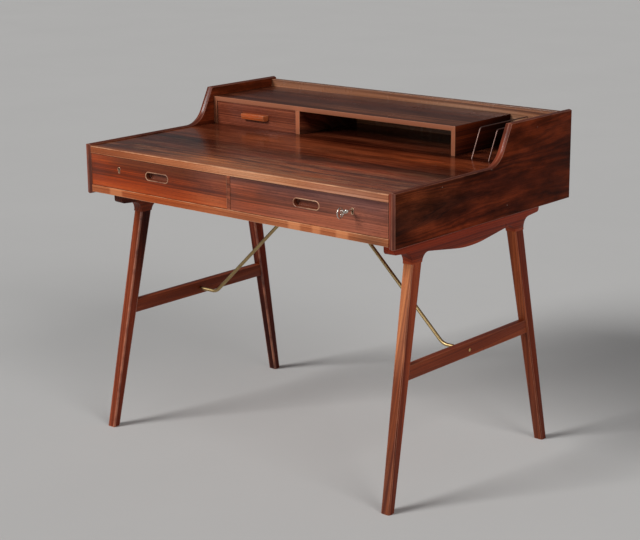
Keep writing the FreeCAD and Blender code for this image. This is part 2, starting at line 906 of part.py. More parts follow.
def tab_screws():
    y = stay_y
    far = stay_top_from_centre - stay_tab_length + tab_screw_edge
    near = far + 2 * tab_screw_edge
    return [screw(V(x, y, underside_height - stay_tab_thick), UP, tab_screw_head_radius,
                  stay_tab_thick / 2, tab_screw_radius, tab_screw_bite) for x in (far, near)]


def tab_screw_set():
    screws = tab_screws()
    return screws + [mirrored(one) for one in screws]


def rail_screw_set():
    low = rail_start_y + rail_screw_margin
    high = rail_end_y - rail_screw_margin
    screws = []
    for i in range(rail_screws):
        y = low + (high - low) * i / (rail_screws - 1)
        screws.append(screw(V(frame_x, y, opening_z), -UP, rail_screw_head_radius, rail_screw_head,
                            rail_screw_radius, board - rail_screw_head + rail_screw_bite))
    return screws + [mirrored(one) for one in screws]


def save_pair(name, shape):
    """A piece drawn on the right, and its mirror image on the left."""
    save("right_" + name, shape)
    save("left_" + name, mirrored(shape))


def group(solids):
    return Part.makeCompound(solids)


def build_case():
    save_pair("side_panel", side_panel())
    save("desktop", desktop())
    save("bottom_board", bottom_board())
    save("desktop_lipping", lipping(desktop_under_z))
    save("bottom_lipping", lipping(underside_height))
    save("centre_partition", partition_board().cut(all_runner_screws()))
    save("back_panel", back_panel())
    save("case_dowels", group(dowel_pins()))
    for name, (wall_x, into) in runner_walls().items():
        save(name, runner(wall_x, into))
    save("runner_screws", group(all_runner_screws()))
    save("drawer_stops", group(drawer_stops()))


def build_drawers():
    save_pair("drawer_front", drawer_front())
    save_pair("drawer_inner_side", drawer_side_board(box_x0, partition / 2, 1))
    save_pair("drawer_outer_side", drawer_side_board(box_x1 - drawer_side, inner_x, -1))
    save_pair("drawer_back", drawer_back())
    save_pair("drawer_bottom", drawer_bottom_room())
    save_pair("pull_cup", pull_cup())
    save_pair("escutcheon", escutcheon())
    save_pair("lock_case", lock_case())
    save_pair("lock_bolt", lock_bolt())
    save("key", key())


def build_gallery():
    save("gallery_shelf", gallery_shelf())
    save("gallery_left_wall", gallery_wall(-inner_x, 1))
    save("gallery_right_wall", gallery_wall(rack_x, -1))
    save("gallery_divider", gallery_divider())
    save("small_drawer_front", small_front())
    save("small_drawer_left_side", small_side_board(small_x0 + small_gap))
    save("small_drawer_right_side", small_side_board(small_x1 - small_gap - small_side))
    save("small_drawer_back", small_back())
    save("small_drawer_bottom", small_bottom_room())
    save("small_drawer_handle", small_handle())
    save("handle_screws", group(handle_screws()))
    for name, x in zip(("letter_wire_inner", "letter_wire_outer"), wire_places()):
        save(name, letter_wire(x))


def build_base():
    save_pair("front_leg", leg(front_leg))
    save_pair("rear_leg", leg(rear_leg))
    save_pair("rail", rail())
    save_pair("stretcher", stretcher().cut(stay_end_screw()))
    save_pair("stay", stay())
    end_screw = stay_end_screw()
    save("stay_end_screws", group([end_screw, mirrored(end_screw)]))
    save("stay_tab_screws", group(tab_screw_set()))
    save("rail_screws", group(rail_screw_set()))


os.makedirs("parts", exist_ok=True)
build_case()
build_drawers()
build_gallery()
build_base()
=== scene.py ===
"""Writing desk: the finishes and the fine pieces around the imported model."""

import json
import math

import bmesh
import bpy
from mathutils import Matrix, Vector

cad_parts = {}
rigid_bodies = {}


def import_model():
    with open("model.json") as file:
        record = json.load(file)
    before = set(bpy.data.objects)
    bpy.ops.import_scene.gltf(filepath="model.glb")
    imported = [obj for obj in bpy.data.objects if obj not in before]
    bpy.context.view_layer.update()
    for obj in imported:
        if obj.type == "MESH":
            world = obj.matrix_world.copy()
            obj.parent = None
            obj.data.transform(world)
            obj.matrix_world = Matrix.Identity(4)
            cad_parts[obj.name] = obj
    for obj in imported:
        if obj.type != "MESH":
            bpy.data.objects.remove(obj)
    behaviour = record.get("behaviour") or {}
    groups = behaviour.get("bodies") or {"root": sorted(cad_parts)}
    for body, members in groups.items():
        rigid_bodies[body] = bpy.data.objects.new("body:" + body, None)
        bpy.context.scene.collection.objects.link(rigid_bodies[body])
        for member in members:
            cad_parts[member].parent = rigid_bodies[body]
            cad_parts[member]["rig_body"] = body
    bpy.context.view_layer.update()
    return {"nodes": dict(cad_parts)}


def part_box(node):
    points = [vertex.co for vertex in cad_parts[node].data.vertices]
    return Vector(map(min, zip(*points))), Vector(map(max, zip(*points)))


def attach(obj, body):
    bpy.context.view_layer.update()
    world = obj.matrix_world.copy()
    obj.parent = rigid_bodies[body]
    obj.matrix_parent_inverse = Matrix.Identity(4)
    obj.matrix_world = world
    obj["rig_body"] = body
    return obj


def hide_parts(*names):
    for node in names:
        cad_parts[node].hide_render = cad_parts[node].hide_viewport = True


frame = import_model()
NODES = frame["nodes"]

bl_info = {
    "name": "Writing desk",
    "version": (1, 0, 0),
    "blender": (4, 5, 0),
    "location": "View3D > Sidebar > Desk",
    "description": "Finishes and fine pieces of a veneered writing desk",
    "category": "Object",
}

MM = 0.001
QUARTER = math.pi / 2
X, Y, Z = range(3)
SIDES = ("left", "right")


def both(*names):
    return [side + "_" + name for name in names for side in SIDES]


def metres(sizes):
    """Sizes in millimetres, as Blender's metres."""
    return tuple(MM * size for size in sizes)


# Settings

def paint(red, green, blue):
    """A display colour in 0 to 255, as the linear colour that sockets take."""
    shares = (value / 255 for value in (red, green, blue))
    return (*(share / 12.92 if share <= 0.04045 else ((share + 0.055) / 1.055) ** 2.4
              for share in shares), 1)


def colour(name, description, *display):
    return bpy.props.FloatVectorProperty(name=name, description=description, subtype="COLOR", size=4,
                                         min=0, max=1, default=paint(*display))


def length(name, description, size):
    return bpy.props.FloatProperty(name=name, description=description, default=size, unit="LENGTH",
                                   precision=4)


def angle(name, description, degrees):
    return bpy.props.FloatProperty(name=name, description=description, default=math.radians(degrees),
                                   subtype="ANGLE")


def amount(name, description, value):
    return bpy.props.FloatProperty(name=name, description=description, default=value, min=0)


# Where each wood is, and the display colours of its dark veins, its ground and its light bands
WOODS = {
    "top": ("the desktop", (53, 20, 11), (102, 47, 28), (148, 79, 49)),
    "side": ("the side panels", (36, 15, 11), (78, 30, 16), (115, 47, 23)),
    "left": ("the left drawer front", (88, 32, 12), (140, 54, 18), (166, 73, 27)),
    "right": ("the right drawer front", (92, 49, 36), (141, 74, 52), (174, 98, 69)),
    "gallery": ("the gallery", (48, 22, 14), (83, 45, 32), (110, 64, 43)),
    "small": ("the gallery drawer's front", (83, 37, 25), (122, 61, 41), (150, 83, 58)),
    "back": ("the back panel", (82, 46, 30), (124, 78, 51), (148, 97, 68)),
    "lipping": ("the solid lippings", (119, 61, 33), (153, 84, 48), (176, 106, 67)),
    "base": ("the legs and rails", (85, 33, 20), (130, 57, 31), (156, 76, 43)),
    "lining": ("the drawers' insides", (150, 104, 66), (178, 132, 88), (198, 156, 110)),
}
TONES = {"dark": "Dark veins", "middle": "Ground colour", "light": "Light bands"}


class DESK_PG_woods(bpy.types.PropertyGroup):
    sapwood: colour("Sapwood", "Pale patches of the lower lipping", 214, 140, 92)


for wood_key, (where, *shades) in WOODS.items():
    for (tone, streak), shade in zip(TONES.items(), shades):
        DESK_PG_woods.__annotations__[wood_key + "_" + tone] = colour(
            f"{wood_key.title()}, {tone}", f"{streak} of {where}", *shade)


class DESK_PG_sizes(bpy.types.PropertyGroup):
    board_edge: length("Eased edge", "How far the boards' edges are rounded", 0.7 * MM)
    leg_edge: length("Leg edge", "How far the legs' edges are rounded", 2.8 * MM)
    rail_edge: length("Rail edge", "How far the rails' and stretchers' edges are rounded", 1.5 * MM)
    top_edge: length("Desktop edge", "How far the desktop's front edge is rounded", 2.2 * MM)
    plate_edge: length("Plate edge", "How far the keyhole plates' edges are rounded", 0.35 * MM)
    pull_wall: length("Pull rim", "Width of the drawer pulls' rims", 2.7 * MM)
    pull_floor: length("Pull floor", "Thickness of the drawer pulls' floors", 2 * MM)
    handle_end: length("Handle end", "How far the small handle's ends slant back", 4 * MM)
    handle_hold: length("Handle hold", "How far the small handle is undercut", 7 * MM)
    bow_wire: length("Bow wire", "Radius of the key's bow wire", 1.4 * MM)
    screw_slot: length("Screw slot", "Width of the brass screws' slots", 1 * MM)


class DESK_PG_stage(bpy.types.PropertyGroup):
    camera_x: length("Camera, right", "Camera's place to the right of the middle", 2.5989)
    camera_y: length("Camera, back", "Camera's place behind the middle", -3.0269)
    camera_z: length("Camera, height", "Camera's height over the floor", 1.4789)
    azimuth: angle("Azimuth", "How far the camera stands round to the right", 40.63)
    elevation: angle("Elevation", "How far the camera looks down", 14.63)
    roll: angle("Roll", "The camera's turn about its own line of sight", -0.48)
    lens: amount("Lens", "Focal length in millimetres on a 36 mm frame", 91.67)
    floor: colour("Floor", "The pale floor", 200, 199, 197)
    surround: colour("Surround", "The soft light from all sides", 94, 94, 96)


# Each lamp's place round to the right and its height in degrees, its strength and its spread in degrees.
# The low lamp reaches into the pigeonhole.
LAMPS = {"key": (-25, 31, 2.78, 22), "fill": (72, 32, 1, 30), "low": (8, 6, 0.24, 20)}
for lamp, (azimuth, elevation, strength, spread) in LAMPS.items():
    label = lamp.title() + " lamp, "
    DESK_PG_stage.__annotations__.update({
        lamp + "_azimuth": angle(label + "azimuth", "How far it stands round to the right", azimuth),
        lamp + "_elevation": angle(label + "elevation", "Its height as an angle", elevation),
        lamp + "_strength": amount(label + "strength", "How strong it is", strength),
        lamp + "_spread": angle(label + "spread", "How soft its shadows are", spread)})


# Shader nodes

# Noise hardly leaves this run
NOISE_LOW, NOISE_HIGH = 0.3, 0.7


def added(tree, kind, **settings):
    """A new shader node with these settings."""
    made = tree.nodes.new("ShaderNode" + kind)
    for key, value in settings.items():
        setattr(made, key, value)
    return made


def feed(made, inputs):
    """Sets a node's inputs: a socket is linked to its input, and anything else is its value."""
    for key, value in inputs.items():
        if isinstance(value, bpy.types.NodeSocket):
            made.id_data.links.new(value, made.inputs[key])
        else:
            made.inputs[key].default_value = value
    return made


def node(kind, inputs, **settings):
    """A new shader node beside the sockets that feed it."""
    tree = next(value.id_data for value in inputs.values() if isinstance(value, bpy.types.NodeSocket))
    return feed(added(tree, kind, **settings), inputs)


def maths(operation, first, second):
    return node("Math", {0: first, 1: second}, operation=operation).outputs[0]


def times(first, second):
    return maths("MULTIPLY", first, second)


def plus(first, second):
    return maths("ADD", first, second)


def minus(first, second):
    return maths("SUBTRACT", first, second)


def vector_maths(operation, first, second=(0, 0, 0)):
    made = node("VectorMath", {0: first, 1: second}, operation=operation)
    return made.outputs["Value" if operation == "LENGTH" else "Vector"]


def own_place(tree):
    """The point's place in the piece's own coordinates."""
    return added(tree, "TexCoord").outputs["Object"]


def along(place, axis):
    return node("SeparateXYZ", {0: place}).outputs[axis]


def noise(vector, scale, detail=2, roughness=0.5):
    return node("TexNoise", {"Vector": vector, "Scale": scale, "Detail": detail,
                             "Roughness": roughness}).outputs["Fac"]


def drawn_noise(place, scales, detail, roughness=0.5):
    """Noise with a scale of its own along each axis, so that it can be drawn out into streaks."""
    return noise(vector_maths("MULTIPLY", place, scales), 1, detail, roughness)


def line_noise(place, roughness=0.6):
    """Noise along one line, which makes veins of uneven width."""
    return node("TexNoise", {"W": place, "Scale": 1, "Detail": 3, "Roughness": roughness},
                noise_dimensions="1D").outputs["Fac"]


def spread_out(value, low=NOISE_LOW, high=NOISE_HIGH, to_low=0, to_high=1, kind="LINEAR"):
    """The value's run from low to high, as a run from to_low to to_high."""
    return node("MapRange", {"Value": value, "From Min": low, "From Max": high, "To Min": to_low,
                             "To Max": to_high}, interpolation_type=kind).outputs["Result"]


def soft_step(value, low, high):
    """0 at low and 1 at high, with soft ends."""
    return spread_out(value, low, high, kind="SMOOTHSTEP")


def mix(mode, share, first, second):
    return node("Mix", {0: share, 6: first, 7: second}, data_type="RGBA", blend_type=mode).outputs[2]


def blend(share, first, second):
    return mix("MIX", share, first, second)


def tinted(share, base, tint):
    return mix("MULTIPLY", share, base, (*tint, 1))


def shaded(base, value):
    """The colour times a value, all over."""
    grey = node("CombineColor", {"Red": value, "Green": value, "Blue": value}).outputs[0]
    return mix("MULTIPLY", 1, base, grey)


def darker(shade, share):
    return (*(share * channel for channel in tuple(shade)[:3]), 1)


def shader_group(name, inputs, outputs):
    """Makes a node group with these sockets: what comes in, and the node that takes what goes out."""
    group = bpy.data.node_groups.new(name, "ShaderNodeTree")
    for way, sockets in (("INPUT", inputs), ("OUTPUT", outputs)):
        for label, kind in sockets.items():
            group.interface.new_socket(name=label, in_out=way, socket_type="NodeSocket" + kind)
    return group.nodes.new("NodeGroupInput").outputs, group.nodes.new("NodeGroupOutput")


def figure_group():
    """Growth rings cut by the surface: bands, lines, black streaks, blotches and open pores along X."""
    given, result = shader_group(
        "Rosewood figure",
        {"Vector": "Vector", "Rings": "Float", "Wander": "Float", "Stretch": "Float", "Seed": "Float"},
        dict.fromkeys(("Bands", "Lines", "Streaks", "Shade", "Pores", "Fibre", "Blotches"), "Float"))
    place = given["Vector"]
    squeeze = node("CombineXYZ", {"X": given["Stretch"], "Y": 1, "Z": 1}).outputs[0]
    offset = node("CombineXYZ", {"X": given["Seed"]}).outputs[0]
    shifted = vector_maths("ADD", vector_maths("MULTIPLY", place, squeeze), offset)
    sway = minus(noise(shifted, 5), 0.5)
    ripple = minus(noise(shifted, 26, 3, 0.6), 0.5)
    bend = plus(times(sway, 3), times(ripple, 0.5))
    across = vector_maths("MULTIPLY", place, (0, 1, 1))
    radius = plus(vector_maths("LENGTH", across), times(bend, given["Wander"]))
    ring = plus(times(radius, given["Rings"]), given["Seed"])
    bands = line_noise(times(ring, 0.11), 0.55)
    veins = line_noise(plus(times(ring, 0.3), 37))
    breaks = minus(noise(shifted, 11, 3, 0.6), 0.5)
    streaks = plus(veins, times(breaks, 0.7))
    shade = noise(shifted, 8, 3, 0.55)
    pores = drawn_noise(place, (80, 1500, 1500), 1)
    blotches = drawn_noise(place, (9, 26, 26), 4, 0.62)
    feed(result, {
        "Bands": spread_out(bands),
        "Lines": spread_out(line_noise(ring)),
        "Streaks": soft_step(streaks, 0.56, 0.72),
        "Shade": spread_out(shade),
        "Pores": spread_out(pores, 0.63, 0.7),
        "Fibre": drawn_noise(shifted, (60, 420, 420), 2, 0.6),
        "Blotches": soft_step(blotches, 0.36, 0.64)})


def wear_and_highlight_group():
    """Paler edges, partly rubbing and partly a painted highlight along the arrises: where Edge is 1, the
    colour goes to the paler one, unevenly.
    """
    given, result = shader_group(
        "Edge wear",
        {"Vector": "Vector", "Color": "Color", "Worn": "Color", "Edge": "Float", "Amount": "Float"},
        {"Color": "Color", "Mask": "Float"})
    rubbed_and_highlit = spread_out(noise(given["Vector"], 30, 4, 0.6), 0.3, 0.62)
    share = times(times(rubbed_and_highlit, given["Edge"]), given["Amount"])
    feed(result, {"Color": blend(share, given["Color"], given["Worn"]), "Mask": share})


def lacquer_group():
    """The lacquer's uneven gloss, its faint scratches and a few specks of dust."""
    given, result = shader_group(
        "Lacquer", {"Vector": "Vector", "Gloss": "Float"},
        {"Roughness": "Float", "Specks": "Float", "Scratches": "Float"})
    place = given["Vector"]
    clouds = spread_out(noise(place, 9, 4, 0.65), to_low=-0.03, to_high=0.05)
    speck = node("TexVoronoi", {"Vector": place, "Scale": 26}).outputs["Distance"]
    turned = node("Mapping", {"Vector": place, "Rotation": (0.4, 0.3, 0.7),
                              "Scale": (3, 240, 240)}).outputs[0]
    feed(result, {
        "Roughness": plus(given["Gloss"], clouds),
        "Specks": spread_out(speck, 0.035, 0.02),
        "Scratches": spread_out(noise(turned, 1, 1), 0.74, 0.78)})


def use_group(name, inputs):
    return node("Group", inputs, node_tree=bpy.data.node_groups[name]).outputs


def new_material(name):
    material = bpy.data.materials.new(name)
    material.use_nodes = True
    tree = material.node_tree
    tree.nodes.clear()
    surface = added(tree, "BsdfPrincipled")
    node("OutputMaterial", {"Surface": surface.outputs[0]})
    return material, tree, surface


def bump(height, strength, distance):
    return node("Bump", {"Strength": strength, "Distance": distance, "Height": height}).outputs[0]


def patch(place, base, centre, reach, tint):
    """Tints the wood in a soft-edged patch, in millimetres; tint multiplies the colour at its centre."""
    away = vector_maths("DIVIDE", vector_maths("SUBTRACT", place, metres(centre)), metres(reach))
    return tinted(soft_step(vector_maths("LENGTH", away), 1, 0), base, tint)


def noted(tree, name):
    """A share that the piece's own faces carry: edge, front or rim."""
    return added(tree, "Attribute", attribute_name=name).outputs["Fac"]


# Patches where a wood is paler, darker or of another tint, some of them painted light and shade as noted:
# centre and reach in millimetres, and tint
SIDE_PATCHES = (
    ((490, -180, 640), (60, 260, 70), (1.7, 1.4, 1.25)),
    ((490, -240, 700), (60, 260, 140), (1.5, 1.95, 1.8)),
    ((490, 290, 710), (60, 290, 190), (0.6, 0.5, 0.3)),
)
LEG_PATCHES = (
    ((446, -300, 60), (80, 60, 150), (0.9, 1.1, 1.4)),
    # Painted shade: the left front leg's inner face made far darker
    ((-424, -190, 520), (26, 110, 380), (0.25, 0.25, 0.32)),
    ((-446, 300, 100), (80, 160, 620), (0.25, 0.2, 0.2)),
    ((446, 300, 60), (80, 160, 200), (0.7, 0.75, 0.85)),
    ((446, 300, 560), (80, 160, 260), (1, 0.75, 0.5)),
)
PATCHES = {
    "Desktop veneer": (
        # Painted sheen: the first patch makes the middle of the desktop's front much paler and greyer
        ((-40, -290, 750), (420, 140, 60), (2.8, 3.6, 2.8)),
        ((330, -230, 750), (260, 160, 60), (1.5, 1.2, 0.72)),
        ((-380, -180, 750), (280, 240, 60), (0.62, 0.58, 0.55)),
        ((130, -125, 750), (430, 120, 60), (1.8, 1.3, 0.75)),
        ((60, 70, 750), (640, 170, 60), (0.7, 0.53, 0.45)),
        ((-360, 40, 750), (200, 130, 60), (0.6, 0.56, 0.6)),
        ((330, 20, 750), (300, 120, 60), (1.35, 1.12, 0.85)),
    ),
    # Painted shade: the first patch of each drawer front darkens and greys its upper band
    "Left front veneer": (
        ((-190, -325, 738), (330, 60, 60), (0.7, 0.75, 1.1)),
        ((-40, -325, 695), (130, 60, 110), (1.2, 1.9, 4.4)),
        ((-380, -325, 670), (230, 60, 90), (1.2, 1, 0.25)),
        ((-450, -325, 738), (110, 60, 60), (1.7, 1.3, 0.6)),
        ((-120, -325, 660), (160, 60, 50), (1.3, 1.3, 1.1)),
    ),
    "Right front veneer": (
        ((240, -325, 742), (360, 60, 60), (0.62, 0.72, 0.95)),
        ((60, -325, 690), (110, 60, 80), (1.25, 0.98, 0.7)),
        ((330, -325, 712), (120, 60, 50), (1.25, 1.35, 1.3)),
        ((420, -325, 690), (120, 60, 70), (0.95, 1.1, 1.3)),
    ),
    "Partition wood": (((0, -320, 690), (60, 60, 200), (0.9, 0.88, 0.8)),),
    # Painted reflection: a paler, bluer haze on the back panel inside the pigeonhole
    "Back veneer": (((200, 355, 790), (330, 60, 60), (1.6, 2.6, 3.8)),),
    "Upper lipping": (
        ((-430, -326, 740), (220, 60, 60), (0.76, 0.64, 0.55)),
        ((80, -326, 740), (260, 60, 60), (1.35, 1.95, 2.7)),
        ((380, -326, 740), (190, 60, 60), (1.1, 1.55, 2.5)),
    ),
    "Lower lipping": (
        ((-240, -325, 640), (330, 60, 60), (0.84, 0.5, 0.22)),
        ((60, -325, 640), (130, 60, 60), (0.75, 0.7, 0.7)),
        ((430, -325, 640), (90, 60, 60), (0.6, 0.7, 0.8)),
    ),
    # Painted shade: the floor of each pull's recess made darker
    "Pull wood": (((0, -312, 696), (900, 9, 60), (0.6, 0.62, 0.66)),),
    "Gallery veneer": (
        ((100, 180, 822), (500, 120, 40), (1.15, 1.25, 1.3)),
        ((-380, 190, 822), (220, 150, 40), (0.85, 0.68, 0.62)),
        ((0, 310, 822), (700, 110, 40), (1.05, 0.6, 0.3)),
        ((-160, 190, 785), (26, 140, 50), (2.4, 1.3, 0.9)),
    ),
    # Painted shade: the gallery's right wall made nearly black towards the back
    "Gallery wall veneer": (((330, 330, 770), (80, 230, 260), (0.06, 0.05, 0.05)),),
    "Small front veneer": (((-225, 120, 780), (90, 60, 60), (1.3, 1.4, 1.3)),),
    "Handle wood": (((-330, 107, 780), (90, 40, 30), (1.45, 1, 0.75)),),
    "Level base wood": (
        ((440, 0, 640), (300, 900, 110), (2.1, 1.1, 0.65)),
        ((440, 0, 314), (120, 400, 60), (0.84, 0.72, 0.64)),
        ((-440, -275, 600), (60, 70, 70), (0.4, 0.4, 0.4)),
    ),
    "Right side veneer": SIDE_PATCHES,
    "Left side veneer": [((-x, y, z), reach, tint) for (x, y, z), reach, tint in SIDE_PATCHES],
    "Front leg wood": LEG_PATCHES,
    "Rear leg wood": LEG_PATCHES,
}

# The turn that lays the grain along each axis
GRAIN_TURN = {"X": (0, 0, 0), "Y": (0, 0, -QUARTER), "Z": (0, QUARTER, 0)}
DUST = paint(196, 176, 160)
# The default colour of the paler edges: partly rubbing, partly a painted highlight
RUBBED_AND_HIGHLIT = (178, 122, 88)


def wood(name, key, pith, seed, grain="X", rings=300, wander=0.02, stretch=0.15, lean=0,
         bands=0.5, lines=0.35, shade=0.3, streaks=0.4, pores=0.5, blotch=0, after=None,
         gloss=0.3, sheen=0.2, wear=0.5, worn=RUBBED_AND_HIGHLIT, bright=0.5, specks=0):
    """A lacquered rosewood in the colours of that key, whose growth rings run round a pith, in millimetres.

    Rings, wander, stretch and lean draw the figure, and bands to blotch say how strongly it shows. The
    after function paints what only some pieces have, painted light and shade among them. Gloss is the
    roughness. The share wear and the colour worn are for the paler edges,
    partly rubbing and partly a painted highlight along the arrises; they show a paler shade of the same
    wood where worn is None, and bright is their extra gloss.
    """
    woods = bpy.context.scene.desk_woods
    dark, middle, light = (tuple(getattr(woods, key + "_" + tone)) for tone in TONES)
    material, tree, surface = new_material(name)
    place = own_place(tree)
    centred = vector_maths("SUBTRACT", place, metres(pith))
    for turn in ((math.radians(lean), 0, 0), GRAIN_TURN[grain]):
        centred = node("Mapping", {"Vector": centred, "Rotation": turn}).outputs[0]
    figure = use_group("Rosewood figure", {"Vector": centred, "Rings": rings, "Wander": wander,
                                           "Stretch": stretch, "Seed": seed})
    tone = 0.5
    for label, share in (("Bands", bands), ("Lines", lines), ("Shade", shade)):
        tone = plus(times(minus(figure[label], 0.5), share), tone)
    ramp = node("ValToRGB", {0: tone})
    stops = ramp.color_ramp.elements
    stops[0].position, stops[0].color = 0.15, dark
    stops[1].position, stops[1].color = 0.85, light
    stops.new(0.5).color = middle
    base = blend(times(figure["Streaks"], streaks), ramp.outputs["Color"], darker(dark, 0.45))
    thread = spread_out(figure["Fibre"], to_low=0.8, to_high=1.14)
    cloud = spread_out(figure["Blotches"], 0, 1, 1 - blotch, 1 + blotch)
    base = shaded(base, times(thread, cloud))
    base = blend(times(figure["Pores"], pores), base, darker(dark, 0.3))
    for centre, reach, tint in PATCHES.get(name, ()):
        base = patch(place, base, centre, reach, tint)
    facets = 0
    if after:
        base, facets = after(tree, place, base, figure)
    edge = noted(tree, "edge")
    # Paler edges, partly rubbing and partly a painted highlight along the arrises
    rub_and_highlight = use_group("Edge wear", {"Vector": place, "Color": base, "Edge": edge, "Amount": wear,
                                  "Worn": paint(*worn) if worn else darker(light, 1.25)})
    finish = use_group("Lacquer", {"Vector": place, "Gloss": gloss})
    height = minus(times(figure["Fibre"], 0.25), figure["Pores"])
    height = minus(height, times(finish["Scratches"], 0.6))
    feed(surface, {
        "Base Color": blend(times(finish["Specks"], specks), rub_and_highlight["Color"], DUST),
        "Roughness": plus(finish["Roughness"], times(rub_and_highlight["Mask"], 0.1)),
        "Normal": bump(height, 0.22, 0.2 * MM),
        "Specular IOR Level": sheen,
        "Coat Roughness": 0.28,
        "Coat Weight": times(maths("MAXIMUM", edge, facets), bright)})
    return material


def metal(name, display, rough, tarnish):
    """A worn metal: its colour, its roughness and how far it has dulled in patches."""
    material, tree, surface = new_material(name)
    place = own_place(tree)
    patches = noise(place, 60, 4, 0.6)
    dull = times(spread_out(patches, 0.35, 0.75), tarnish)
    feed(surface, {
        "Base Color": blend(dull, paint(*display), darker(paint(*display), 0.4)),
        "Metallic": 1,
        "Roughness": spread_out(patches, 0.3, 0.8, rough, rough + 0.18),
        "Normal": bump(noise(place, 900), 0.15, 0.1 * MM)})
    return material


def dress(material, *names):
    for name in names:
        mesh = NODES[name].data
        mesh.materials.clear()
        mesh.materials.append(material)


# What only some pieces have, painted light and shade among them: each gives the colour, and where the coat
# shines as on an edge

def side_edges(tree, place, base, figure):
    """The solid lipping round a side panel, with painted highlights on its facets at the front and on the
    sweep.
    """
    facets = noted(tree, "rim")
    light = blend(figure["Shade"], paint(62, 27, 18), paint(98, 45, 29))
    # Painted highlights on the front edges and on the sweep
    for centre, reach, tint in (((479, -326, 690), (9, 16, 140), (2.6, 2.1, 1.7)),
                                ((-495, -326, 690), (9, 16, 140), (3.8, 2.8, 1.7)),
                                ((483, 60, 790), (18, 70, 60), (2.8, 2.3, 1.9)),
                                ((-495, 60, 790), (10, 70, 60), (1.8, 1.4, 1.2))):
        light = patch(place, light, centre, reach, tint)
    return blend(times(facets, 0.85), base, light), facets


def gallery_edges(tree, place, base, figure):
    """The solid lipping along the front edges of the gallery's boards."""
    facets = noted(tree, "front")
    light = blend(figure["Shade"], paint(122, 72, 50), paint(166, 104, 76))
    light = patch(place, light, (-172, 121, 780), (40, 30, 60), (1.6, 1.45, 1.35))
    return blend(times(facets, 0.9), base, light), times(facets, 0.3)


def worn_front(tree, place, base, figure):
    """Tan scuffs along the front half of the desktop, which run into the lipping's colour at its edge."""
    first_scuffs, full_scuffs = -20 * MM, -300 * MM
    rim_start, rim_end = -283 * MM, -303 * MM
    depth = along(place, "Y")
    streaky = drawn_noise(place, (9, 110, 110), 4, 0.65)
    cloudy = drawn_noise(place, (4, 9, 9), 2)
    scuffs = times(soft_step(streaky, 0.46, 0.64), spread_out(cloudy, 0.36, 0.58))
    near = times(scuffs, soft_step(depth, first_scuffs, full_scuffs))
    base = blend(times(near, 0.75), base, paint(172, 118, 82))
    rim = soft_step(plus(depth, times(streaky, 30 * MM)), rim_start, rim_end)
    lipping = tuple(bpy.context.scene.desk_woods.lipping_middle)
    return blend(times(rim, 0.8), base, lipping), 0


def painted_shade_band(tree, place, base, figure):
    """Painted shade: a darker, greyer upper band on a drawer front, with an uneven lower edge."""
    band_start, band_full = 676 * MM, 722 * MM
    cloud = minus(drawn_noise(place, (7, 7, 26), 3), 0.5)
    rise = plus(along(place, "Z"), times(cloud, 90 * MM))
    return tinted(soft_step(rise, band_start, band_full), base, (0.5, 0.62, 0.85)), 0


def sapwood_blocks(tree, place, base, figure):
    """Pale sapwood in blocks along the lower lipping."""
    across = along(place, "X")
    pale = tuple(bpy.context.scene.desk_woods.sapwood)
    soft = 5
    for start, end, share in ((-411, -367, 0.4), (187, 223, 0.45), (259, 283, 0.4), (329, 364, 0.42)):
        rise = soft_step(across, (start - soft) * MM, (start + soft) * MM)
        fall = soft_step(across, (end + soft) * MM, (end - soft) * MM)
        base = blend(times(times(rise, fall), share), base, pale)
    return base, 0


def painted_leg_light(left_front, left_side, right_front, right_side, raised):
    """Paints light and shade on a pair of legs, with a tint for each face; raised is a painted highlight on
    the right leg's front above the stretcher.
    """
    highlight_start, highlight_full = 280 * MM, 380 * MM

    def painted_face_light(tree, place, base, figure):
        front = noted(tree, "front")
        side = minus(1, front)
        right = spread_out(along(place, "X"), -10 * MM, 10 * MM)
        left = minus(1, right)
        high = soft_step(along(place, "Z"), highlight_start, highlight_full)
        for face, leg, tint in (
                (front, left, left_front), (side, left, left_side), (front, right, right_front),
                (side, right, right_side), (times(front, high), right, raised)):
            base = tinted(times(face, leg), base, tint)
        return base, 0
    return painted_face_light


